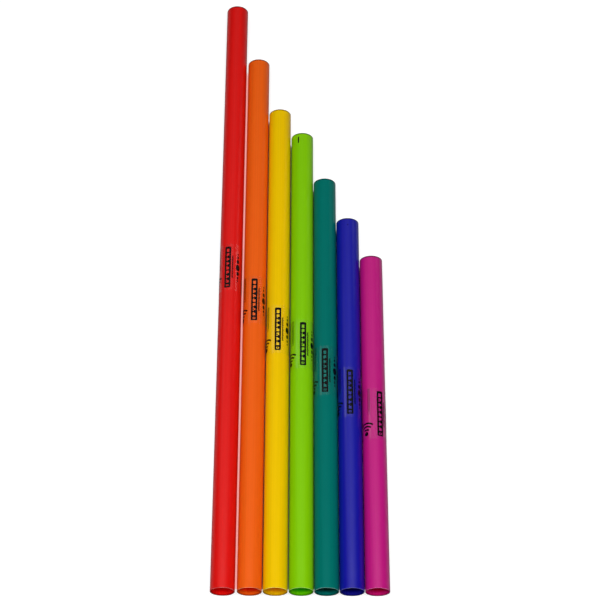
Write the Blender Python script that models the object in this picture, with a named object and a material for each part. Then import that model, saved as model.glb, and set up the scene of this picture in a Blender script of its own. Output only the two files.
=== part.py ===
"""Tuned percussion tubes: seven open plastic tubes, laid side by side from the longest to the shortest.

Each tube sounds one note of a scale when it is struck. All are cut from the same stock, so only their
lengths differ, and each carries a clear printed film round its middle. The tubes lie along Y with their
near ends in line, X runs across the row from the lowest note to the highest, and Z is up.
"""

import math

import bmesh
import bpy

# Tube stock, in metres.
TUBE_DIAMETER = 0.0435
TUBE_WALL = 0.0016
END_CHAMFER = 0.0003  # the sawn ends have their edges eased inside and out
TUBE_FACETS = 48  # a multiple of four, so that flats lie under, over and beside the axis

# Length of each tube, from the lowest note to the highest.
RED_LENGTH = 1.276
ORANGE_LENGTH = 1.137
YELLOW_LENGTH = 1.011
GREEN_LENGTH = 0.953
TEAL_LENGTH = 0.844
BLUE_LENGTH = 0.752
MAGENTA_LENGTH = 0.667

# Clear space between each tube and the one on its left, as a hand laid them down.
ORANGE_GAP = 0.0034
YELLOW_GAP = 0.0014
GREEN_GAP = 0.0017
TEAL_GAP = 0.0009
BLUE_GAP = 0.0008
MAGENTA_GAP = 0.0008

# How far each printed film is turned from the top of its tube, in degrees towards +X.
RED_TURN = -13.7
ORANGE_TURN = 0.0
YELLOW_TURN = 1.0
GREEN_TURN = 6.3
TEAL_TURN = -3.9
BLUE_TURN = 0.0
MAGENTA_TURN = 27.6

# How far each printed film sits from the middle of its tube, towards the far end.
RED_SHIFT = 0.0035
ORANGE_SHIFT = 0.0018
YELLOW_SHIFT = 0.0017
GREEN_SHIFT = -0.0005
TEAL_SHIFT = -0.0012
BLUE_SHIFT = 0.0007
MAGENTA_SHIFT = -0.0003

# The printed film. It goes most of the way round and leaves its seam open at the back.
FILM_LENGTH = 0.102
FILM_THICKNESS = 0.00015
FILM_CLEARANCE = 0.00005
FILM_FACETS = 35  # of the facets in a full turn of the tube

# Name, length, space on its left, turn and shift of its film and sRGB colour of each tube, left to right.
TUBES = (
    ("red", RED_LENGTH, 0.0, RED_TURN, RED_SHIFT, "DE2523"),
    ("orange", ORANGE_LENGTH, ORANGE_GAP, ORANGE_TURN, ORANGE_SHIFT, "EE651D"),
    ("yellow", YELLOW_LENGTH, YELLOW_GAP, YELLOW_TURN, YELLOW_SHIFT, "EFC402"),
    ("green", GREEN_LENGTH, GREEN_GAP, GREEN_TURN, GREEN_SHIFT, "83C918"),
    ("teal", TEAL_LENGTH, TEAL_GAP, TEAL_TURN, TEAL_SHIFT, "007067"),
    ("blue", BLUE_LENGTH, BLUE_GAP, BLUE_TURN, BLUE_SHIFT, "3130A0"),
    ("magenta", MAGENTA_LENGTH, MAGENTA_GAP, MAGENTA_TURN, MAGENTA_SHIFT, "BF2F83"),
)

FACET_ANGLE = 2 * math.pi / TUBE_FACETS
FLAT_TO_CORNER = 1 / math.cos(FACET_ANGLE / 2)
TUBE_RADIUS = TUBE_DIAMETER / 2  # from the axis to the middle of a flat
BORE_RADIUS = TUBE_RADIUS - TUBE_WALL
TUBE_CORNER = TUBE_RADIUS * FLAT_TO_CORNER


def linear(hex_colour):
    """The linear RGBA of an sRGB hex colour."""
    channels = [int(hex_colour[i : i + 2], 16) / 255 for i in (0, 2, 4)]
    return [c / 12.92 if c <= 0.04045 else ((c + 0.055) / 1.055) ** 2.4 for c in channels] + [1.0]


def plastic(name, hex_colour, roughness, alpha=1.0):
    """A Principled plastic of one colour."""
    material = bpy.data.materials.new(name)
    material.use_nodes = True
    shader = material.node_tree.nodes["Principled BSDF"]
    shader.inputs["Base Color"].default_value = linear(hex_colour)
    shader.inputs["Roughness"].default_value = roughness
    shader.inputs["Metallic"].default_value = 0.0
    shader.inputs["Alpha"].default_value = alpha
    return material


def profile_loop(bm, points, angle):
    """A closed loop of edges through (radius, y) points, in the half plane at an angle from straight up."""
    verts = [bm.verts.new((r * math.sin(angle), y, r * math.cos(angle))) for r, y in points]
    edges = [bm.edges.new((a, b)) for a, b in zip(verts, verts[1:] + verts[:1])]
    return verts, edges


def finished_mesh(bm, name, material):
    """The bmesh as a mesh with its faces pointing out, smooth but for its real edges."""
    bmesh.ops.recalc_face_normals(bm, faces=bm.faces)
    mesh = bpy.data.meshes.new(name)
    bm.to_mesh(mesh)
    bm.free()
    mesh.materials.append(material)
    mesh.shade_smooth()
    mesh.set_sharp_from_angle(angle=math.radians(30))
    return mesh


def tube_mesh(name, length, material):
    """A tube from the origin along +Y, with a flat facet straight under its axis."""
    outer = TUBE_CORNER
    inner = BORE_RADIUS * FLAT_TO_CORNER
    cut = END_CHAMFER
    wall_section = (
        (outer - cut, 0.0),
        (outer, cut),
        (outer, length - cut),
        (outer - cut, length),
        (inner + cut, length),
        (inner, length - cut),
        (inner, cut),
        (inner + cut, 0.0),
    )
    bm = bmesh.new()
    verts, edges = profile_loop(bm, wall_section, FACET_ANGLE / 2)
    bmesh.ops.spin(
        bm,
        geom=verts + edges,
        cent=(0.0, 0.0, 0.0),
        axis=(0.0, 1.0, 0.0),
        angle=2 * math.pi,
        steps=TUBE_FACETS,
        use_merge=True,
    )
    return finished_mesh(bm, name, material)


def film_mesh(name, material):
    """A thin sleeve centred on the origin, open along its seam, that clears the tube's corners."""
    inner = (TUBE_CORNER + FILM_CLEARANCE) * FLAT_TO_CORNER
    outer = inner + FILM_THICKNESS
    end = FILM_LENGTH / 2
    span = FILM_FACETS * FACET_ANGLE
    bm = bmesh.new()
    verts, edges = profile_loop(bm, ((inner, -end), (outer, -end), (outer, end), (inner, end)), -span / 2)
    section = bm.faces.new(verts)
    bmesh.ops.spin(
        bm,
        geom=[section] + verts + edges,
        cent=(0.0, 0.0, 0.0),
        axis=(0.0, 1.0, 0.0),
        angle=span,
        steps=FILM_FACETS,
    )
    return finished_mesh(bm, name, material)


def place(name, mesh, parent, location, turn=0.0):
    """An object for the mesh, held by its parent and turned in degrees about its own Y."""
    obj = bpy.data.objects.new(name, mesh)
    bpy.context.scene.collection.objects.link(obj)
    obj.parent = parent
    obj.location = location
    obj.rotation_euler.y = math.radians(turn)
    return obj


def build_row():
    """Every tube in its place with its film, and the row centred on the origin."""
    lengths = [tube[1] for tube in TUBES]
    gaps = [tube[2] for tube in TUBES]
    row_width = sum(gaps) + len(TUBES) * TUBE_DIAMETER
    near_ends = place("near_ends", None, None, (0.0, -max(lengths) / 2, 0.0))
    film_plastic = plastic("clear_printed_film", "F2F2F2", 0.12, alpha=0.25)
    axis_x = -row_width / 2 - TUBE_RADIUS
    for name, length, gap, turn, shift, colour in TUBES:
        axis_x += gap + TUBE_DIAMETER
        stock = plastic(f"{name}_plastic", colour, 0.38)
        tube = place(
            f"{name}_tube",
            tube_mesh(f"{name}_tube", length, stock),
            near_ends,
            (axis_x, 0.0, TUBE_RADIUS),
        )
        place(
            f"{name}_film",
            film_mesh(f"{name}_film", film_plastic),
            tube,
            (0.0, length / 2 + shift, 0.0),
            turn,
        )


def main():
    for obj in list(bpy.data.objects):
        bpy.data.objects.remove(obj, do_unlink=True)
    build_row()


main()
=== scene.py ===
# %% [markdown]
# # Seven tuned percussion tubes
#
# Each tube is a length of extruded plastic pipe, open at both ends, that sounds one note of a scale when
# it is struck. A clear printed film is wrapped round its middle. The frame holds every tube and film at
# its real size, so this script only has to give them their fine surfaces, their print and their light.

import math

import bmesh
import bpy
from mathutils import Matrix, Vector


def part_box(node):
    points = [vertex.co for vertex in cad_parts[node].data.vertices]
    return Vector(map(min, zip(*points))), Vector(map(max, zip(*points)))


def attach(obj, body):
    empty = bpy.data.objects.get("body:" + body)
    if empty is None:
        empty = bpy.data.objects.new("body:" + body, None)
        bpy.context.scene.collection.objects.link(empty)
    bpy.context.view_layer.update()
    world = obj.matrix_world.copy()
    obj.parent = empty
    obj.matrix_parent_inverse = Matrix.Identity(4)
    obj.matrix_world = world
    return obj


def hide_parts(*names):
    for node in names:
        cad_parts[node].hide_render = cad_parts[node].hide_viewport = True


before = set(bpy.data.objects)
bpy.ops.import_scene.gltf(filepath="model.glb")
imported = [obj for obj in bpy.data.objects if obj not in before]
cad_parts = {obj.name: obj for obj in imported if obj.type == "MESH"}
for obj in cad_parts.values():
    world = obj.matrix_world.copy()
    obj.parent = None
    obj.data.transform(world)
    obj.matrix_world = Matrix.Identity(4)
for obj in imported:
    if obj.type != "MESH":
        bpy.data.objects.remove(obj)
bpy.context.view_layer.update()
print("nodes in the frame:", len(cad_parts))

# %% [markdown]
# ## Sizes from the frame
#
# Nothing here is measured twice. A tube's box gives its axis, its outside radius and its two ends. A film
# goes most of the way round and is open at its seam, so the middle of all its corners lies on the side
# away from the seam. That direction is how far the film is turned from the top of its tube.

# %% Read each tube's place and its film's turn
COLOURS = ("red", "orange", "yellow", "green", "teal", "blue", "magenta")
MM = 0.001


def tube_place(colour):
    """The axis, radius and ends of a tube, and the middle, length and turn of its film."""
    low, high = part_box(f"{colour}_tube")
    film_low, film_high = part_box(f"{colour}_film")
    axis_x, axis_z = (low.x + high.x) / 2, (low.z + high.z) / 2
    corners = [v.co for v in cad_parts[f"{colour}_film"].data.vertices]
    across = sum(c.x for c in corners) / len(corners) - axis_x
    up = sum(c.z for c in corners) / len(corners) - axis_z
    return {
        "x": axis_x,
        "z": axis_z,
        "radius": (high.z - low.z) / 2,
        "near": low.y,
        "far": high.y,
        "film_middle": (film_low.y + film_high.y) / 2,
        "film_length": film_high.y - film_low.y,
        "turn": math.atan2(across, up),
    }


places = {colour: tube_place(colour) for colour in COLOURS}
for colour, place in places.items():
    length = place["far"] - place["near"]
    print(f"{colour}: {length:.3f} m long, film turned {math.degrees(place['turn']):.1f} degrees")

# %% [markdown]
# ## Helpers for colours, nodes and meshes
#
# Colours are written as sRGB hex values, as a paint chart gives them, and Blender's sockets want linear
# numbers, so one function turns one into the other. Another adds a node, sets it and links it in one
# call, which keeps each material short enough to read. The last two cut a mesh along lines, where it
# needs an edge to bend or to change its material, and turn a finished bmesh into an object.

# %% Colour, node and mesh helpers
SMOOTH_ANGLE = math.radians(35)  # edges that turn by more than this stay sharp


def linear(hex_colour):
    """The linear RGBA of an sRGB hex colour."""
    channels = [int(hex_colour[i : i + 2], 16) / 255 for i in (0, 2, 4)]
    return [c / 12.92 if c <= 0.04045 else ((c + 0.055) / 1.055) ** 2.4 for c in channels] + [1.0]


def add_node(tree, kind, settings=None, links=None):
    """A new node. Settings are its own properties, or its inputs by name or number, and links feed inputs."""
    node = tree.nodes.new(kind)
    for key, value in (settings or {}).items():
        if isinstance(key, int) or key in node.inputs:
            node.inputs[key].default_value = value
        else:
            setattr(node, key, value)
    for key, source in (links or {}).items():
        tree.links.new(source, node.inputs[key])
    return node


def new_material(name):
    """An empty node material, with its tree and its output."""
    material = bpy.data.materials.new(name)
    material.use_nodes = True
    tree = material.node_tree
    tree.nodes.clear()
    return material, tree, add_node(tree, "ShaderNodeOutputMaterial")


def cut_lines(bm, values, axis):
    """Cuts a mesh right through along lines where x, axis 0, or y, axis 1, has the given values."""
    normal = Vector((1.0, 0.0, 0.0)) if axis == 0 else Vector((0.0, 1.0, 0.0))
    for value in values:
        bmesh.ops.bisect_plane(
            bm, geom=bm.verts[:] + bm.edges[:] + bm.faces[:], plane_co=normal * value, plane_no=normal
        )


def finish_piece(bm, name, materials):
    """The bmesh as an object at the origin, its place in its mesh, smooth but for its real edges."""
    bmesh.ops.recalc_face_normals(bm, faces=bm.faces)
    mesh = bpy.data.meshes.new(name)
    bm.to_mesh(mesh)
    bm.free()
    for material in materials:
        mesh.materials.append(material)
    mesh.shade_smooth()
    mesh.set_sharp_from_angle(angle=SMOOTH_ANGLE)
    obj = bpy.data.objects.new(name, mesh)
    bpy.context.scene.collection.objects.link(obj)
    return obj


print("helpers ready")

# %% [markdown]
# ## The tubes
#
# A tube is sawn from extruded pipe, so its section is the same all along and only its ends are worked:
# the saw leaves a flat ring, a scraper eases its outer edge and a reamer its inner one. The CAD tube has
# 48 flats, which would show as stripes in a highlight, and Blender's own cylinder has no wall. So the
# wall's section is spun in many steps. The ring's two edges are then bevelled, and a cut near each end
# keeps the smooth shading of the bevel from creeping along the whole tube.

# %% Shape of a round tube
WALL = 1.6 * MM
OUTER_EDGE, BORE_EDGE = 0.5 * MM, 0.8 * MM  # how far the outside and the bore are eased at the ends
EDGE_STEPS, ROUND_STEPS = 4, 144
SHADING_CUT = 2.0 * MM  # from each end
RING_ANGLE = math.radians(60)  # only the edges of a ring turn by more than this
ON_RING = 0.1 * MM  # how far from a radius an edge still counts as on it


def axis_distance(point, place):
    """How far a point lies from the axis of a tube."""
    return math.hypot(point.x - place["x"], point.z - place["z"])


def tube_shape(place):
    """A round tube with eased ends, in its place."""
    outer, inner = place["radius"], place["radius"] - WALL
    section = [(outer, place["near"]), (outer, place["far"]), (inner, place["far"]), (inner, place["near"])]
    bm = bmesh.new()
    verts = [bm.verts.new((place["x"] + r, y, place["z"])) for r, y in section]
    edges = [bm.edges.new((a, b)) for a, b in zip(verts, verts[1:] + verts[:1])]
    bmesh.ops.spin(
        bm,
        geom=verts + edges,
        cent=(place["x"], 0.0, place["z"]),
        axis=(0.0, 1.0, 0.0),
        angle=2 * math.pi,
        steps=ROUND_STEPS,
        use_merge=True,
    )
    bmesh.ops.recalc_face_normals(bm, faces=bm.faces)
    for radius, easing in ((outer, OUTER_EDGE), (inner, BORE_EDGE)):
        ring = [
            edge
            for edge in bm.edges
            if edge.calc_face_angle(0.0) > RING_ANGLE
            and abs(axis_distance(edge.verts[0].co, place) - radius) < ON_RING
        ]
        bmesh.ops.bevel(
            bm,
            geom=ring,
            offset=easing,
            offset_type="OFFSET",
            affect="EDGES",
            segments=EDGE_STEPS,
            profile=0.5,
            material=-1,
        )
    cut_lines(bm, (place["near"] + SHADING_CUT, place["far"] - SHADING_CUT), 1)
    return bm


print(f"tube wall {WALL / MM:.1f} mm, {ROUND_STEPS} steps round")

# %% Skin, bore and sawn ends
SKIN, BORE, SAWN = range(3)
SAWN_LEAN = 0.15  # how far a normal leans along the tube before its face counts as sawn


def sort_faces(bm, place):
    """Gives the skin, the bore and the sawn ends of a tube a material slot each."""
    middle_of_wall = place["radius"] - WALL / 2
    for face in bm.faces:
        if abs(face.normal.y) > SAWN_LEAN:
            face.material_index = SAWN
        elif axis_distance(face.calc_center_median(), place) < middle_of_wall:
            face.material_index = BORE
        else:
            face.material_index = SKIN


print("three finishes on each tube")

# %% [markdown]
# ## The plastic
#
# The tubes are extruded polyethylene coloured right through. The sizing sleeve of the extruder leaves
# the outside satin, with faint lines along it, and handling adds soft scuffs. What the eye sees is a
# light, broad highlight, tinted by the pigment, that fades into deep colour at the sides. The wall is
# thin enough to pass a little light, so it gets some subsurface scattering.
#
# Inside the bore, light meets the wall again and again, and each time it is multiplied by the colour
# once more. That is a power of the colour, which a gamma node gives, painted in as shade that darkens
# the bore inwards. Last comes painted shade at the ends: a dark line at the far end, and a fainter one
# inside the near end's lip.

# %% Painted shade that deepens inside a bore
MOUTH, INSIDE = 6.0 * MM, 17.0 * MM  # the depths between which the painted shade deepens the colour


def painted_bore_shade(tree, colour, lengthwise, place, painted_bounces):
    """The colour in painted shade, as if light had met it a few more times: none at a mouth, all inside."""
    from_middle = add_node(
        tree,
        "ShaderNodeMath",
        {"operation": "SUBTRACT", 1: (place["near"] + place["far"]) / 2},
        {0: lengthwise},
    )
    either_way = add_node(
        tree, "ShaderNodeMath", {"operation": "ABSOLUTE"}, {0: from_middle.outputs["Value"]}
    )
    half = (place["far"] - place["near"]) / 2
    power = add_node(
        tree,
        "ShaderNodeMapRange",
        {"From Min": half - MOUTH, "From Max": half - INSIDE, "To Min": 1.0, "To Max": 1.0 + painted_bounces},
        {"Value": either_way.outputs["Value"]},
    )
    return add_node(
        tree, "ShaderNodeGamma", links={"Color": colour, "Gamma": power.outputs["Result"]}
    ).outputs["Color"]


print(f"bores deepen between {MOUTH / MM:.0f} and {INSIDE / MM:.0f} mm from their mouths")

# %% Die lines and painted shade in the colour
NOISE_LOW, NOISE_HIGH = 0.3, 0.7  # nearly all of a noise texture lies between these
LINE_SHADE = 0.04  # how far a die line makes the colour lighter or darker
FAR_SHADE_REACH, FAR_SHADE = 3.4 * MM, 0.25  # its reach, drawn wide so that it shows, and the darkness of this painted shade
LIP_SHADE_REACH, LIP_SHADE = 3.2 * MM, 0.55  # the same painted shade for the bore at the near end


def lined_colour_with_painted_shade(tree, hex_colour, die_lines, lengthwise, place, in_bore):
    """The plastic's colour with its die lines, and with painted shade at the end that shows it."""
    shade = add_node(
        tree,
        "ShaderNodeMapRange",
        {
            "From Min": NOISE_LOW,
            "From Max": NOISE_HIGH,
            "To Min": 1.0 - LINE_SHADE,
            "To Max": 1.0 + LINE_SHADE,
        },
        {"Value": die_lines},
    )
    # Painted shade: the skin darkens towards its far end, a bore inside its near end's lip.
    if in_bore:
        end, reach, darkest = place["near"], LIP_SHADE_REACH, LIP_SHADE
    else:
        end, reach, darkest = place["far"], -FAR_SHADE_REACH, FAR_SHADE
    painted_end_shade = add_node(
        tree,
        "ShaderNodeMapRange",
        {"From Min": end + reach, "From Max": end + reach / 2, "To Min": 1.0, "To Max": darkest},
        {"Value": lengthwise},
    )
    lines_and_painted_shade = add_node(
        tree,
        "ShaderNodeMath",
        {"operation": "MULTIPLY"},
        {0: shade.outputs["Result"], 1: painted_end_shade.outputs["Result"]},
    )
    return add_node(
        tree,
        "ShaderNodeHueSaturation",
        {"Color": linear(hex_colour)},
        {"Value": lines_and_painted_shade.outputs["Value"]},
    ).outputs["Color"]


# How far the painted shade reaches from the far ends.
print(f"grime reaches {FAR_SHADE_REACH / MM:.1f} mm from the far ends")

# %% Extruded polyethylene, outside and bore
DIE_LINE = 3.5 * MM  # real ones are 0.5 to 1 mm apart, too fine to show, so these are drawn coarser
DIE_STRETCH = 0.004  # die lines run on, so their pattern hardly changes along the tube
LINE_ROUGHNESS = 0.03  # how far a die line makes the skin duller or glossier
ORANGE_PEEL = 9.0 * MM  # from crest to crest of the skin's slow ripple
SCUFF = 28.0 * MM  # a patch of scuffs
SCUFFED_FROM, SCUFFED_FULL = 0.56, 0.74  # levels of the noise at which the scuffing starts and is full
SCUFF_ROUGHNESS = 0.12  # what full scuffing adds to the skin's roughness
WALL_GLOW = 1.4 * MM  # how far light travels in the plastic before it turns
POLYETHYLENE_IOR = 1.5


def tinted(hex_colour, share):
    """White taken a share of the way to a colour."""
    return [1.0 - share * (1.0 - c) for c in linear(hex_colour)]


def extruded_polyethylene(name, hex_colour, place, roughness, glow, tint, painted_bounces=0.0):
    """Satin plastic with lines along it, a slight ripple, soft scuffs, and painted shade at ends and in
    bores.
    """
    material, tree, output = new_material(name)
    coordinates = add_node(tree, "ShaderNodeTexCoord")
    parts = add_node(tree, "ShaderNodeSeparateXYZ", links={"Vector": coordinates.outputs["Object"]})
    centred = add_node(
        tree,
        "ShaderNodeMapping",
        {"Location": (-place["x"], -place["near"], -place["z"])},
        {"Vector": coordinates.outputs["Object"]},
    )
    along = add_node(
        tree, "ShaderNodeMapping", {"Scale": (1.0, DIE_STRETCH, 1.0)}, {"Vector": centred.outputs["Vector"]}
    )
    die_lines = add_node(
        tree,
        "ShaderNodeTexNoise",
        {"Scale": 1 / DIE_LINE, "Detail": 2.0, "Roughness": 0.6},
        {"Vector": along.outputs["Vector"]},
    )
    peel = add_node(
        tree,
        "ShaderNodeTexNoise",
        {"Scale": 1 / ORANGE_PEEL, "Detail": 2.0, "Roughness": 0.5},
        {"Vector": centred.outputs["Vector"]},
    )
    scuffs = add_node(
        tree,
        "ShaderNodeTexNoise",
        {"Scale": 1 / SCUFF, "Detail": 8.0, "Roughness": 0.72, "Distortion": 0.6},
        {"Vector": centred.outputs["Vector"]},
    )
    lined = add_node(
        tree,
        "ShaderNodeMapRange",
        {
            "From Min": NOISE_LOW,
            "From Max": NOISE_HIGH,
            "To Min": roughness - LINE_ROUGHNESS,
            "To Max": roughness + LINE_ROUGHNESS,
        },
        {"Value": die_lines.outputs["Fac"]},
    )
    scuffed = add_node(
        tree,
        "ShaderNodeMapRange",
        {"From Min": SCUFFED_FROM, "From Max": SCUFFED_FULL, "To Min": 0.0, "To Max": SCUFF_ROUGHNESS},
        {"Value": scuffs.outputs["Fac"]},
    )
    lined_and_scuffed = add_node(
        tree,
        "ShaderNodeMath",
        {"operation": "ADD", "use_clamp": True},
        {0: lined.outputs["Result"], 1: scuffed.outputs["Result"]},
    )
    colour = lined_colour_with_painted_shade(
        tree, hex_colour, die_lines.outputs["Fac"], parts.outputs["Y"], place, in_bore=painted_bounces > 0
    )
    # Painted shade: a bore's colour darkens inwards.
    if painted_bounces:
        colour = painted_bore_shade(tree, colour, parts.outputs["Y"], place, painted_bounces)
    lines_height = add_node(
        tree,
        "ShaderNodeBump",
        {"Strength": 0.35, "Distance": 0.02 * MM},
        {"Height": die_lines.outputs["Fac"]},
    )
    peel_height = add_node(
        tree,
        "ShaderNodeBump",
        {"Strength": 0.25, "Distance": 0.05 * MM},
        {"Height": peel.outputs["Fac"], "Normal": lines_height.outputs["Normal"]},
    )
    shader = add_node(
        tree,
        "ShaderNodeBsdfPrincipled",
        {
            "IOR": POLYETHYLENE_IOR,
            "Specular Tint": tinted(hex_colour, tint),
            "Subsurface Weight": glow,
            "Subsurface Radius": (1.0, 1.0, 1.0),
            "Subsurface Scale": WALL_GLOW,
        },
        {
            "Base Color": colour,
            "Roughness": lined_and_scuffed.outputs["Value"],
            "Normal": peel_height.outputs["Normal"],
        },
    )
    tree.links.new(shader.outputs["BSDF"], output.inputs["Surface"])
    return material


print(f"die lines {DIE_LINE / MM:.1f} mm apart")

# %% [markdown]
# ## The sawn ends
#
# The saw leaves a flat ring, marked finely by its teeth, and painted shade makes it darker than the skin.
# The upper side of the near ring gets a painted highlight instead: a colour paler and lighter than the
# skin, where light falls on its eased edge. Light that enters the thin edge comes out again there, so
# the whole ring scatters strongly. From a step away the highlight reads as a thin bright line over the
# mouth. The lower side of the near ring and all of the far ring keep their painted shade.

# %% Sawn polyethylene
SAW_MARK = 0.9 * MM  # from one mark of a fine saw to the next
CUT_PAINTED_SHADE, CORE_MOTTLE = 0.35, 0.1  # the cut ring's painted shade, as a share of the skin's colour, and its unevenness
HIGHLIGHT_WHITENING = 0.15  # how far the painted highlight takes the skin's colour towards white
HIGHLIGHT_BRIGHTENING = 1.4  # how much lighter than the skin the painted highlight makes the thin edge
HIGHLIGHT_TO, HIGHLIGHT_FULL = 1.4 * MM, 1.12 * MM  # depths in the wall where the painted highlight ends and is full
UPPER_FROM, UPPER_FULL = 0.1, 0.7  # heights over the axis, in radii, where the painted highlight starts and is full
CUT_TINT = 0.8  # the share of the pigment that the cut's dull shine takes up


def sawn_polyethylene(name, hex_colour, place):
    """The plastic a saw has cut, in painted shade, with a painted highlight on its upper near edge."""
    material, tree, output = new_material(name)
    coordinates = add_node(tree, "ShaderNodeTexCoord")
    parts = add_node(tree, "ShaderNodeSeparateXYZ", links={"Vector": coordinates.outputs["Object"]})
    from_axis = add_node(
        tree,
        "ShaderNodeMapping",
        {"Location": (-place["x"], 0.0, -place["z"]), "Scale": (1.0, 0.0, 1.0)},
        {"Vector": coordinates.outputs["Object"]},
    )
    marks = add_node(
        tree,
        "ShaderNodeTexNoise",
        {"Scale": 1 / SAW_MARK, "Detail": 3.0, "Roughness": 0.7},
        {"Vector": from_axis.outputs["Vector"]},
    )
    shade = add_node(
        tree,
        "ShaderNodeMapRange",
        {
            "From Min": NOISE_LOW,
            "From Max": NOISE_HIGH,
            "To Min": CUT_PAINTED_SHADE - CORE_MOTTLE,
            "To Max": CUT_PAINTED_SHADE + CORE_MOTTLE,
        },
        {"Value": marks.outputs["Fac"]},
    )
    # Painted shade: the cut ring is darker than the skin.
    shaded_cut = add_node(
        tree,
        "ShaderNodeHueSaturation",
        {"Color": linear(hex_colour)},
        {"Value": shade.outputs["Result"]},
    )
    radius = add_node(
        tree, "ShaderNodeVectorMath", {"operation": "LENGTH"}, {0: from_axis.outputs["Vector"]}
    )
    outside = add_node(
        tree,
        "ShaderNodeMapRange",
        {"From Min": place["radius"] - HIGHLIGHT_TO, "From Max": place["radius"] - HIGHLIGHT_FULL},
        {"Value": radius.outputs["Value"]},
    )
    upper = add_node(
        tree,
        "ShaderNodeMapRange",
        {
            "From Min": place["z"] + UPPER_FROM * place["radius"],
            "From Max": place["z"] + UPPER_FULL * place["radius"],
        },
        {"Value": parts.outputs["Z"]},
    )
    near_end = add_node(
        tree,
        "ShaderNodeMath",
        {"operation": "LESS_THAN", 1: (place["near"] + place["far"]) / 2},
        {0: parts.outputs["Y"]},
    )
    upper_outside = add_node(
        tree,
        "ShaderNodeMath",
        {"operation": "MULTIPLY"},
        {0: outside.outputs["Result"], 1: upper.outputs["Result"]},
    )
    painted_highlight = add_node(
        tree,
        "ShaderNodeMath",
        {"operation": "MULTIPLY"},
        {0: upper_outside.outputs["Value"], 1: near_end.outputs["Value"]},
    )
    # Painted highlight: the upper side of the near ring is paler and lighter than the skin.
    pale = [min(1.0, c * HIGHLIGHT_BRIGHTENING + (1.0 - c) * HIGHLIGHT_WHITENING) for c in linear(hex_colour)]
    colour = add_node(
        tree,
        "ShaderNodeMix",
        {"data_type": "RGBA", 7: pale},
        {0: painted_highlight.outputs["Value"], 6: shaded_cut.outputs["Color"]},
    )
    height = add_node(
        tree,
        "ShaderNodeBump",
        {"Strength": 0.5, "Distance": 0.05 * MM},
        {"Height": marks.outputs["Fac"]},
    )
    shader = add_node(
        tree,
        "ShaderNodeBsdfPrincipled",
        {
            "Roughness": 0.45,
            "IOR": POLYETHYLENE_IOR,
            "Specular IOR Level": 0.3,
            "Specular Tint": tinted(hex_colour, CUT_TINT),
            "Subsurface Weight": 0.9,
            "Subsurface Radius": (1.0, 1.0, 1.0),
            "Subsurface Scale": WALL_GLOW,
        },
        {"Base Color": colour.outputs[2], "Normal": height.outputs["Normal"]},
    )
    tree.links.new(shader.outputs["BSDF"], output.inputs["Surface"])
    return material


print(f"saw marks {SAW_MARK / MM:.1f} mm apart")

# %% [markdown]
# ## Seven colours
#
# Each hex value was found by rendering the tubes and looking again. A skin's value is a pigment's own
# colour, without light or shade on it. A bore has a value of its own, a little purer than the skin, which
# holds painted light for the light that also reaches it through the wall. The tint is the share of the
# pigment that the shine takes up: most of it in yellow and teal, none in blue.

# %% Make the seven tubes
PLASTIC = {
    "red": "DE100C",
    "orange": "EE6010",
    "yellow": "EEC200",
    "green": "80C600",
    "teal": "006D64",
    "blue": "0C0C9C",
    "magenta": "BE127C",
}
# Painted light: each bore's colour is its pigment's, lit as if by light through the wall.
BORES = {
    "red": "FA1610",
    "orange": "FF6010",
    "yellow": "FFC400",
    "green": "68D600",
    "teal": "00716A",
    "blue": "161690",
    "magenta": "D81676",
}
SKIN_TINT = {
    "red": 0.4,
    "orange": 0.7,
    "yellow": 0.9,
    "green": 0.7,
    "teal": 0.9,
    "blue": 0.0,
    "magenta": 0.2,
}
SKIN_ROUGHNESS, BORE_ROUGHNESS = 0.32, 0.22
SKIN_GLOW, BORE_GLOW = 0.08, 0.12
# The second number sets how far the painted shade darkens a bore inside.
BORE_TINT, PAINTED_BOUNCES = 0.8, 1.9
for colour, place in places.items():
    bm = tube_shape(place)
    sort_faces(bm, place)
    skin = extruded_polyethylene(
        f"{colour}_polyethylene", PLASTIC[colour], place, SKIN_ROUGHNESS, SKIN_GLOW, SKIN_TINT[colour]
    )
    bore = extruded_polyethylene(
        f"{colour}_bore", BORES[colour], place, BORE_ROUGHNESS, BORE_GLOW, BORE_TINT, PAINTED_BOUNCES
    )
    sawn_end = sawn_polyethylene(f"{colour}_sawn_end", PLASTIC[colour], place)
    tube = finish_piece(bm, f"{colour}_round_tube", [skin, bore, sawn_end])
    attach(tube, colour)
    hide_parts(f"{colour}_tube")
    print(f"{tube.name}: {len(tube.data.polygons)} faces")

# %% [markdown]
# ## The clear film
#
# The film is gloss polypropylene, as thin as paper, and shows only by its shine: the lamps draw hard
# streaks on it that stop at its edges, where the satin tube below has a soft glow. Refracting glass
# would shade what lies under it, so the shader lets light straight through and adds a mirror that
# grows towards the edges, as Fresnel's law says. Only the outer side mirrors.

# %% Shape and finish of the film
FILM_GAP, FILM_THICKNESS = 0.05 * MM, 0.1 * MM
FILM_SPAN = math.radians(262.0)  # how far round the tube it goes
FILM_STEPS = 96
FILM_IOR, FILM_ROUGHNESS = 1.49, 0.17


def film_shape(place):
    """A thin open sleeve round the tube, its seam away from its turn."""
    inner = place["radius"] + FILM_GAP
    outer = inner + FILM_THICKNESS
    half = place["film_length"] / 2
    start = place["turn"] - FILM_SPAN / 2
    bm = bmesh.new()
    section = [(inner, -half), (outer, -half), (outer, half), (inner, half)]
    verts = [
        bm.verts.new(
            (place["x"] + r * math.sin(start), place["film_middle"] + y, place["z"] + r * math.cos(start))
        )
        for r, y in section
    ]
    face = bm.faces.new(verts)
    bmesh.ops.spin(
        bm,
        geom=[face] + face.edges[:] + verts,
        cent=(place["x"], 0.0, place["z"]),
        axis=(0.0, 1.0, 0.0),
        angle=FILM_SPAN,
        steps=FILM_STEPS,
    )
    return bm


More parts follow.
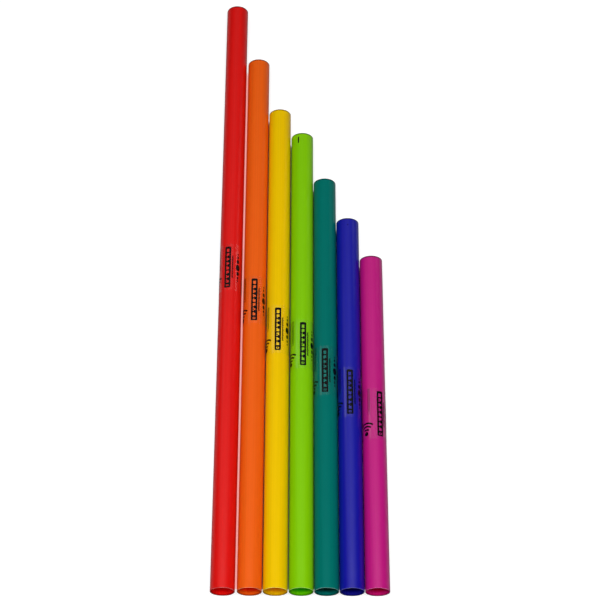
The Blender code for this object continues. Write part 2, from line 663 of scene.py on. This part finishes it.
def gloss_polypropylene_film():
    """A clear film: straight through, with a mirror on its outer side that grows towards the edges."""
    material, tree, output = new_material("gloss_polypropylene_film")
    fresnel = add_node(tree, "ShaderNodeFresnel", {"IOR": FILM_IOR})
    side = add_node(tree, "ShaderNodeNewGeometry")
    outside = add_node(
        tree, "ShaderNodeMath", {"operation": "SUBTRACT", 0: 1.0}, {1: side.outputs["Backfacing"]}
    )
    share = add_node(
        tree,
        "ShaderNodeMath",
        {"operation": "MULTIPLY"},
        {0: fresnel.outputs["Fac"], 1: outside.outputs["Value"]},
    )
    clear = add_node(tree, "ShaderNodeBsdfTransparent", {"Color": (1.0, 1.0, 1.0, 1.0)})
    mirror = add_node(tree, "ShaderNodeBsdfAnisotropic", {"Roughness": FILM_ROUGHNESS})
    mix = add_node(
        tree,
        "ShaderNodeMixShader",
        links={0: share.outputs["Value"], 1: clear.outputs["BSDF"], 2: mirror.outputs["BSDF"]},
    )
    tree.links.new(mix.outputs["Shader"], output.inputs["Surface"])
    return material


film_material = gloss_polypropylene_film()
for colour, place in places.items():
    film = finish_piece(film_shape(place), f"{colour}_clear_film", [film_material])
    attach(film, colour)
    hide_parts(f"{colour}_film")
print(f"films {places['red']['film_length'] / MM:.0f} mm long")

# %% [markdown]
# ## The print
#
# One black print is shared by all the films. It is laid out flat in millimetres, as a printer would:
# across the tube is X and along it is Y, from the middle of the film. A bar in the middle holds a strip
# of piano keys, with a dot on the key that the tube sounds. Beside it run a fine scale, a row of beads
# that swells and fades like a struck note, a block of rules and three sound waves.

# %% Flat pieces of print
CORNER_STEPS, OVAL_STEPS, ARC_STEPS = 5, 28, 14


def flat_rectangle(bm, x0, x1, y0, y1, corner=0.0):
    """A flat rectangle, with its corners rounded if a radius is given."""
    made = bmesh.ops.create_grid(bm, x_segments=1, y_segments=1, size=0.5)["verts"]
    bmesh.ops.scale(bm, vec=(x1 - x0, y1 - y0, 1.0), verts=made)
    bmesh.ops.translate(bm, vec=((x0 + x1) / 2, (y0 + y1) / 2, 0.0), verts=made)
    if corner:
        bmesh.ops.bevel(
            bm,
            geom=made,
            offset=corner,
            offset_type="OFFSET",
            affect="VERTICES",
            segments=CORNER_STEPS,
            profile=0.5,
            material=-1,
        )


def flat_oval(bm, x, y, width, length):
    """A flat oval."""
    made = bmesh.ops.create_circle(bm, cap_ends=True, segments=OVAL_STEPS, radius=0.5)["verts"]
    bmesh.ops.scale(bm, vec=(width, length, 1.0), verts=made)
    bmesh.ops.translate(bm, vec=(x, y, 0.0), verts=made)


def flat_arc(bm, x, y, radius, thickness, half_angle):
    """A flat arc about (x, y), with its middle towards +Y."""
    direction = Vector((-math.sin(half_angle), math.cos(half_angle), 0.0))
    ends = [Vector((x, y, 0.0)) + direction * r for r in (radius, radius + thickness)]
    verts = [bm.verts.new(point) for point in ends]
    edge = bm.edges.new(verts)
    bmesh.ops.spin(
        bm,
        geom=verts + [edge],
        cent=(x, y, 0.0),
        axis=(0.0, 0.0, -1.0),
        angle=2 * half_angle,
        steps=ARC_STEPS,
    )


print("flat shapes ready")

# %% The bar with its strip of keys
BAR_WIDTH, BAR_LENGTH, BAR_CORNER = 12.0, 90.5, 2.0
KEYS = 8  # an octave of white keys, from C to C
KEY_PITCH, KEY_LENGTH, KEY_GAP = 9.7, 5.0, 2.8
SHARP_WIDTH, SHARP_LENGTH = 6.2, 3.0
SHARPS_AFTER = (0, 1, 3, 4, 5)  # the white keys that have a black one on their far side
KEYS_START = -36.2
END_WINDOW = (-42.4, -38.6)  # a clear square near the bar's near end, with a dot in it
KEY_DOT, KEY_DOT_INSET, WINDOW_DOT = 2.2, 1.3, 2.4


def key_windows():
    """The clear windows of the key strip, as (x0, x1, y0, y1)."""
    left, right = -KEY_LENGTH / 2, KEY_LENGTH / 2
    sharp_edge = right - SHARP_LENGTH
    bite = (SHARP_WIDTH - KEY_GAP) / 2
    windows = [(left, right, *END_WINDOW)]
    for key in range(KEYS):
        y0 = KEYS_START + key * KEY_PITCH + KEY_GAP / 2
        y1 = y0 + KEY_PITCH - KEY_GAP
        bite_low = bite if key - 1 in SHARPS_AFTER else 0.0
        bite_high = bite if key in SHARPS_AFTER else 0.0
        windows.append((left, sharp_edge, y0, y1))
        windows.append((sharp_edge, right, y0 + bite_low, y1 - bite_high))
    return windows


def key_bar(bm, sounding_key):
    """A black bar with the keys of an octave left clear, and a dot on the key that sounds."""
    flat_rectangle(bm, -BAR_WIDTH / 2, BAR_WIDTH / 2, -BAR_LENGTH / 2, BAR_LENGTH / 2, BAR_CORNER)
    windows = key_windows()
    cut_lines(bm, sorted({x for w in windows for x in w[:2]}), 0)
    cut_lines(bm, sorted({y for w in windows for y in w[2:]}), 1)
    clear = []
    for face in bm.faces:
        centre = face.calc_center_median()
        if any(x0 < centre.x < x1 and y0 < centre.y < y1 for x0, x1, y0, y1 in windows):
            clear.append(face)
    bmesh.ops.delete(bm, geom=clear, context="FACES")
    key_middle = KEYS_START + (sounding_key + 0.5) * KEY_PITCH
    flat_oval(bm, -KEY_LENGTH / 2 + KEY_DOT_INSET, key_middle, KEY_DOT, KEY_DOT)
    flat_oval(bm, 0.0, sum(END_WINDOW) / 2, WINDOW_DOT, WINDOW_DOT)


print(f"key strip {KEYS * KEY_PITCH:.0f} mm long in a bar of {BAR_LENGTH:.0f} mm")

# %% The scale, the beads, the rules and the waves
SCALE_X, SCALE_HALF, SCALE_LINE = 8.3, 24.0, 0.8
TICK_PITCH, TICK_WIDTH, LONG_TICK, SHORT_TICK = 2.1, 1.5, 2.4, 1.8
TICKS = round(2 * SCALE_HALF / TICK_PITCH) + 1
BEADS_X, BEAD_SIZES = 20.5, (4.0, 6.0, 9.0, 14.0, 9.0, 6.0, 4.0)
BEAD_GAP, BEAD_SHAPE = 1.8, 0.64  # a bead's width as a share of its length
RULES_X, RULE_PITCH, RULE_WIDTH, RULE_LENGTHS = -19.5, 1.7, 0.6, (52.0, 46.0, 52.0)
RULES_END = 50.0
WAVES_X, WAVES_Y, WAVE_PITCH, WAVE_WIDTH = -27.0, -40.0, 6.5, 3.2
WAVE_DOT, WAVES, WAVE_SPREAD = 8.0, 3, math.radians(38)


def fine_scale(bm):
    """A thin line with ticks on one side, each fifth one longer."""
    edge = SCALE_X + SCALE_LINE / 2
    flat_rectangle(bm, SCALE_X - SCALE_LINE / 2, edge, -SCALE_HALF, SCALE_HALF)
    for tick in range(TICKS):
        y = -SCALE_HALF + tick * TICK_PITCH
        reach = LONG_TICK if tick % 5 == 0 else SHORT_TICK
        flat_rectangle(bm, edge, edge + reach, y - TICK_WIDTH / 2, y + TICK_WIDTH / 2)


def bead_row(bm):
    """Ovals that grow to the middle of the row and shrink again."""
    y = -(sum(BEAD_SIZES) + BEAD_GAP * (len(BEAD_SIZES) - 1)) / 2
    for size in BEAD_SIZES:
        flat_oval(bm, BEADS_X, y + size / 2, size * BEAD_SHAPE, size)
        y += size + BEAD_GAP


def rule_block(bm):
    """Fine parallel rules that end in line."""
    for number, rule_length in enumerate(RULE_LENGTHS):
        x = RULES_X - number * RULE_PITCH
        flat_rectangle(bm, x - RULE_WIDTH / 2, x + RULE_WIDTH / 2, RULES_END - rule_length, RULES_END)


def sound_waves(bm):
    """A dot with three arcs above it."""
    flat_oval(bm, WAVES_X, WAVES_Y, WAVE_DOT, WAVE_DOT)
    for wave in range(WAVES):
        flat_arc(bm, WAVES_X, WAVES_Y, (wave + 1.0) * WAVE_PITCH, WAVE_WIDTH, WAVE_SPREAD)


print(f"scale of {TICKS} ticks, {len(BEAD_SIZES)} beads")

# %% [markdown]
# ## The ink
#
# Printer's ink dries to a thin gloss layer that is near black and a little uneven in its shine. It could
# be painted on the film with a mask in the film's material. Here it is a piece of its own instead, so
# that its edges stay sharp from close by, and the mesh holds the print too.

# %% Printer's black ink
MOTTLE = 2.5 * MM  # a patch of the ink's uneven shine
INK_GLOSSIEST, INK_DULLEST = 0.2, 0.32  # its roughness, from patch to patch


def printers_black():
    """Gloss black ink under the film's varnish: near black, with a trace of mottle in its shine."""
    material, tree, output = new_material("printers_black")
    coordinates = add_node(tree, "ShaderNodeTexCoord")
    mottle = add_node(
        tree,
        "ShaderNodeTexNoise",
        {"Scale": 1 / MOTTLE, "Detail": 3.0},
        {"Vector": coordinates.outputs["Object"]},
    )
    rough = add_node(
        tree,
        "ShaderNodeMapRange",
        {"From Min": NOISE_LOW, "From Max": NOISE_HIGH, "To Min": INK_GLOSSIEST, "To Max": INK_DULLEST},
        {"Value": mottle.outputs["Fac"]},
    )
    shader = add_node(
        tree,
        "ShaderNodeBsdfPrincipled",
        {"Base Color": linear("050506"), "IOR": 1.48, "Specular IOR Level": 0.25},
        {"Roughness": rough.outputs["Result"]},
    )
    tree.links.new(shader.outputs["BSDF"], output.inputs["Surface"])
    return material


ink = printers_black()
print("ink ready")

# %% [markdown]
# ## Rolling the print on
#
# A flat face can't bend, so the print is first cut every millimetre or so across. Then it is given its
# thickness, and each corner's distance across becomes an angle round the tube. A Simple Deform modifier
# bends a mesh too, but its angle depends on the mesh's own width, while here the radius and the turn come
# straight from the tube, so every print lies at the same height over its film.

# %% Roll the print round each tube
BEND_STEP = 1.2  # mm across the print between the cuts that let it bend
INK_THICKNESS = 0.03 * MM
ON_TUBE = 0.01 * MM  # the hair's breadth that keeps ink clear of what it lies on
ON_FILM = FILM_GAP + FILM_THICKNESS + ON_TUBE


def roll_round(bm, place, lift):
    """Cuts the flat print so that it can bend, thickens it and rolls it round the tube."""
    lowest = min(v.co.x for v in bm.verts)
    highest = max(v.co.x for v in bm.verts)
    cuts = range(math.ceil(lowest / BEND_STEP), math.ceil(highest / BEND_STEP))
    cut_lines(bm, [cut * BEND_STEP for cut in cuts], 0)
    bmesh.ops.recalc_face_normals(bm, faces=bm.faces)
    bmesh.ops.reverse_faces(bm, faces=[face for face in bm.faces if face.normal.z < 0])
    bmesh.ops.solidify(bm, geom=bm.faces[:], thickness=-INK_THICKNESS / MM)
    radius = place["radius"] + lift
    for vert in bm.verts:
        across, along, above = vert.co
        angle = place["turn"] + across * MM / radius
        r = radius + above * MM
        vert.co = (
            place["x"] + r * math.sin(angle),
            place["film_middle"] + along * MM,
            place["z"] + r * math.cos(angle),
        )


for sounding_key, (colour, place) in enumerate(places.items()):
    bm = bmesh.new()
    key_bar(bm, sounding_key)
    fine_scale(bm)
    bead_row(bm)
    rule_block(bm)
    sound_waves(bm)
    roll_round(bm, place, ON_FILM)
    printed = finish_piece(bm, f"{colour}_print", [ink])
    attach(printed, colour)
    print(f"{printed.name}: {len(printed.data.polygons)} faces")

# %% [markdown]
# ## Marks on the tubes
#
# Two tubes carry a trace of the workshop near their far ends: a stroke of marker along the green one and
# a speck on the blue one. They are ink on the bare plastic, so they are rolled on like the print.

# %% A marker stroke and a speck
STROKE_LENGTH, STROKE_WIDTH, STROKE_CORNER = 14.8, 2.5, 1.125
STROKE_FROM_END, STROKE_TURN = 16.0, -20.9  # mm from the far end to its middle, degrees from the top
SPECK_SIZE, SPECK_FROM_END = 2.2, 15.3


def roll_on_end(bm, colour, name, turn_degrees, from_end):
    """Rolls a flat mark onto a tube, at a turn from its top and a distance from its far end."""
    place = dict(places[colour])
    place["turn"] = math.radians(turn_degrees)
    place["film_middle"] = place["far"] - from_end * MM
    roll_round(bm, place, ON_TUBE)
    mark = finish_piece(bm, name, [ink])
    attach(mark, colour)


bm = bmesh.new()
flat_rectangle(
    bm, -STROKE_WIDTH / 2, STROKE_WIDTH / 2, -STROKE_LENGTH / 2, STROKE_LENGTH / 2, STROKE_CORNER
)
roll_on_end(bm, "green", "green_marker_stroke", STROKE_TURN, STROKE_FROM_END)
bm = bmesh.new()
flat_oval(bm, 0.0, 0.0, SPECK_SIZE, SPECK_SIZE)
roll_on_end(bm, "blue", "blue_speck", 0.0, SPECK_FROM_END)
print("marks on the green and blue tubes")

# %% [markdown]
# ## The floor
#
# The tubes lie on matte white paper. Under a light that shows them in their own colours white paper comes
# out grey, and more light would wash the tubes out. White paper would also throw so much light back that
# the tubes' sides turned pale. So the paper is mid grey, and gives off light of its own where the camera
# sees it and a trace where a shiny surface mirrors it. That lifts it to white and keeps the shadows.
#
# Deep in the narrow gap between two tubes real paper is dark, so the lift has to stop there, and it has
# to come back when a tube is lifted off. An ambient occlusion node knows how open the paper lies, and
# mixes the two. The widest gap, between the red and the orange tube, stays pale, and its paper gives
# off painted pink light for the light that the two throw on it.

# %% White paper
PAPER = "A8A8A8"
FIBRES = 1.5 * MM  # clumps of them, as single fibres are too fine to show
LIFTS = {  # the light that open paper gives off to each kind of ray
    "Is Camera Ray": 0.74,
    "Is Glossy Ray": 0.03,
    "Is Transmission Ray": 0.03,
}
OPEN_REACH = 80 * MM  # a tube further away than this leaves the paper open
GAP_OPENNESS, FULL_OPENNESS = 0.13, 0.3  # paper between two tubes, and paper that counts as open


def white_paper(name, gap_lift=None, gap_colour="FFFFFF"):
    """Matte paper, lifted to white. With a gap lift, that one holds between tubes, in the gap's colour."""
    material, tree, output = new_material(name)
    coordinates = add_node(tree, "ShaderNodeTexCoord")
    fibres = add_node(
        tree,
        "ShaderNodeTexNoise",
        {"Scale": 1 / FIBRES, "Detail": 2.0},
        {"Vector": coordinates.outputs["Object"]},
    )
    height = add_node(
        tree, "ShaderNodeBump", {"Strength": 0.1, "Distance": 0.05 * MM}, {"Height": fibres.outputs["Fac"]}
    )
    shader = add_node(
        tree,
        "ShaderNodeBsdfPrincipled",
        {
            "Base Color": linear(PAPER),
            "Roughness": 0.9,
            "Specular IOR Level": 0.2,
            "Emission Color": linear("FFFFFF"),
        },
        {"Normal": height.outputs["Normal"]},
    )
    path = add_node(tree, "ShaderNodeLightPath")
    lift = None
    for ray, share in LIFTS.items():
        part = add_node(
            tree, "ShaderNodeMath", {"operation": "MULTIPLY", 1: share}, {0: path.outputs[ray]}
        ).outputs["Value"]
        lift = part if lift is None else add_node(
            tree, "ShaderNodeMath", {"operation": "ADD"}, {0: lift, 1: part}
        ).outputs["Value"]
    if gap_lift is not None:
        around = add_node(tree, "ShaderNodeAmbientOcclusion", {"samples": 16, "Distance": OPEN_REACH})
        openness = add_node(
            tree,
            "ShaderNodeMapRange",
            {"From Min": GAP_OPENNESS, "From Max": FULL_OPENNESS},
            {"Value": around.outputs["AO"]},
        ).outputs["Result"]
        in_gap = add_node(
            tree, "ShaderNodeMath", {"operation": "MULTIPLY", 1: gap_lift}, {0: path.outputs["Is Camera Ray"]}
        )
        lift = add_node(
            tree, "ShaderNodeMix", {"data_type": "FLOAT"}, {0: openness, 2: in_gap.outputs["Value"], 3: lift}
        ).outputs[0]
        tint = add_node(
            tree,
            "ShaderNodeMix",
            {"data_type": "RGBA", 6: linear(gap_colour), 7: linear("FFFFFF")},
            {0: openness},
        )
        tree.links.new(tint.outputs[2], shader.inputs["Emission Color"])
    tree.links.new(lift, shader.inputs["Emission Strength"])
    tree.links.new(shader.outputs["BSDF"], output.inputs["Surface"])
    return material


# Painted light: the paper in the widest gap glows pink for the light the red and orange tubes throw on it.
PINK_LIFT, PAINTED_PINK_LIGHT = 0.85, "FF9A94"
PAPERS = [
    white_paper("white_paper"),
    white_paper("shaded_paper", 0.0),
    white_paper("paper_in_painted_pink_light", PINK_LIFT, PAINTED_PINK_LIGHT),
]
SHADED_PAPER, PINK_LIT_PAPER = 1, 2  # slots, after the open paper's
print(f"{len(PAPERS)} papers")

# %% Lay the floor
FLOOR_SIZE = 60.0
SHADE_STARTS = 12 * MM  # inside the near ends
shaded_from = places["orange"]["near"] + SHADE_STARTS
bm = bmesh.new()
bmesh.ops.create_grid(bm, x_segments=1, y_segments=1, size=FLOOR_SIZE / 2)
cut_lines(bm, [place["x"] for place in places.values()], 0)
cut_lines(bm, [shaded_from] + [places[colour]["far"] for colour in COLOURS[1:]], 1)
for left, right in zip(COLOURS, COLOURS[1:]):
    for face in bm.faces:
        centre = face.calc_center_median()
        between = places[left]["x"] < centre.x < places[right]["x"]
        if between and shaded_from < centre.y < places[right]["far"]:
            face.material_index = PINK_LIT_PAPER if left == "red" else SHADED_PAPER
floor = finish_piece(bm, "floor", PAPERS)
print(f"floor {FLOOR_SIZE:.0f} m across, {len(floor.data.polygons)} faces")

# %% [markdown]
# ## The light
#
# A round tube mirrors the whole arch of the studio over it. This sky is brightest straight above and
# dark towards the horizon, which gives each tube its pale band on top and its deep colour at the sides,
# where one even sky would grey it all over. Two tall soft boxes behind the row draw the streaks on the
# films, and a broad one in front and above lights the colours and the open ends.

# %% Studio sky
SKY_TOP, SKY_HORIZON = 0.62, 0.03
# Heights in the sky up to which it is dark, and over which it is bright, as sines of their angles.
DARK_BELOW, BRIGHT_ABOVE = math.sin(math.radians(36)), math.sin(math.radians(78))
world = bpy.data.worlds.new("studio_sky")
world.use_nodes = True
tree = world.node_tree
tree.nodes.clear()
direction = add_node(tree, "ShaderNodeTexCoord")
parts = add_node(tree, "ShaderNodeSeparateXYZ", links={"Vector": direction.outputs["Generated"]})
brightness = add_node(
    tree,
    "ShaderNodeMapRange",
    {
        "interpolation_type": "SMOOTHSTEP",
        "From Min": DARK_BELOW,
        "From Max": BRIGHT_ABOVE,
        "To Min": SKY_HORIZON,
        "To Max": SKY_TOP,
    },
    {"Value": parts.outputs["Z"]},
)
sky = add_node(
    tree,
    "ShaderNodeBackground",
    {"Color": (1.0, 1.0, 1.0, 1.0)},
    {"Strength": brightness.outputs["Result"]},
)
add_node(tree, "ShaderNodeOutputWorld", links={"Surface": sky.outputs["Background"]})
bpy.context.scene.world = world
print(f"sky {SKY_TOP} above, {SKY_HORIZON} at the horizon")

# %% Soft boxes
AIM = (0.0, -0.1, 0.02)  # all three face the row, a little nearer than its middle
SOFT_BOXES = {  # where each stands, its width and height, and its radiance
    "left_strip": ((-2.6, 1.48, 2.55), 0.35, 1.66, 2.2),
    "right_strip": ((2.45, 1.89, 1.30), 0.5, 1.22, 1.4),
    "overhead_key": ((0.0, -1.15, 3.0), 2.2, 1.6, 7.4),
}


def soft_box(name, stand, width, height, radiance):
    """A rectangular lamp. Its radiance is what a mirror shows of it, whatever its size."""
    lamp = bpy.data.lights.new(name, "AREA")
    lamp.shape = "RECTANGLE"
    lamp.size, lamp.size_y = width, height
    lamp.energy = radiance * math.pi * width * height
    obj = bpy.data.objects.new(name, lamp)
    bpy.context.scene.collection.objects.link(obj)
    obj.location = stand
    obj.rotation_euler = (Vector(AIM) - Vector(stand)).to_track_quat("-Z", "Y").to_euler()


for name, settings in SOFT_BOXES.items():
    soft_box(name, *settings)
print(f"{len(SOFT_BOXES)} soft boxes")

# %% [markdown]
# ## The camera
#
# The photograph was taken from in front of the near ends and well above them. The camera's place, its
# turn and its focal length in pixels come from fitting a pinhole camera to the ends of the seven tubes,
# so that the tubes taper into the distance as they do there.

# %% Camera at the photograph's view
IMAGE_SIDE = 600
FOCAL_PIXELS = 1657.0
SENSOR = 36.0  # mm wide
CAMERA_PLACE = (0.0027, -1.6017, 2.7798)
LOOKS_DOWN, LOOKS_LEFT = math.radians(60.75), math.radians(0.16)
camera_data = bpy.data.cameras.new("camera")
camera_data.sensor_width = SENSOR
camera_data.lens = FOCAL_PIXELS / IMAGE_SIDE * SENSOR
camera = bpy.data.objects.new("camera", camera_data)
bpy.context.scene.collection.objects.link(camera)
camera.location = CAMERA_PLACE
camera.rotation_euler = (math.pi / 2 - LOOKS_DOWN, 0.0, LOOKS_LEFT)
bpy.context.scene.camera = camera
bpy.context.scene.view_settings.view_transform = "Standard"
print(f"lens {camera_data.lens:.1f} mm")

# %% [markdown]
# ## The end
#

# %% Finish
print("scene finished")
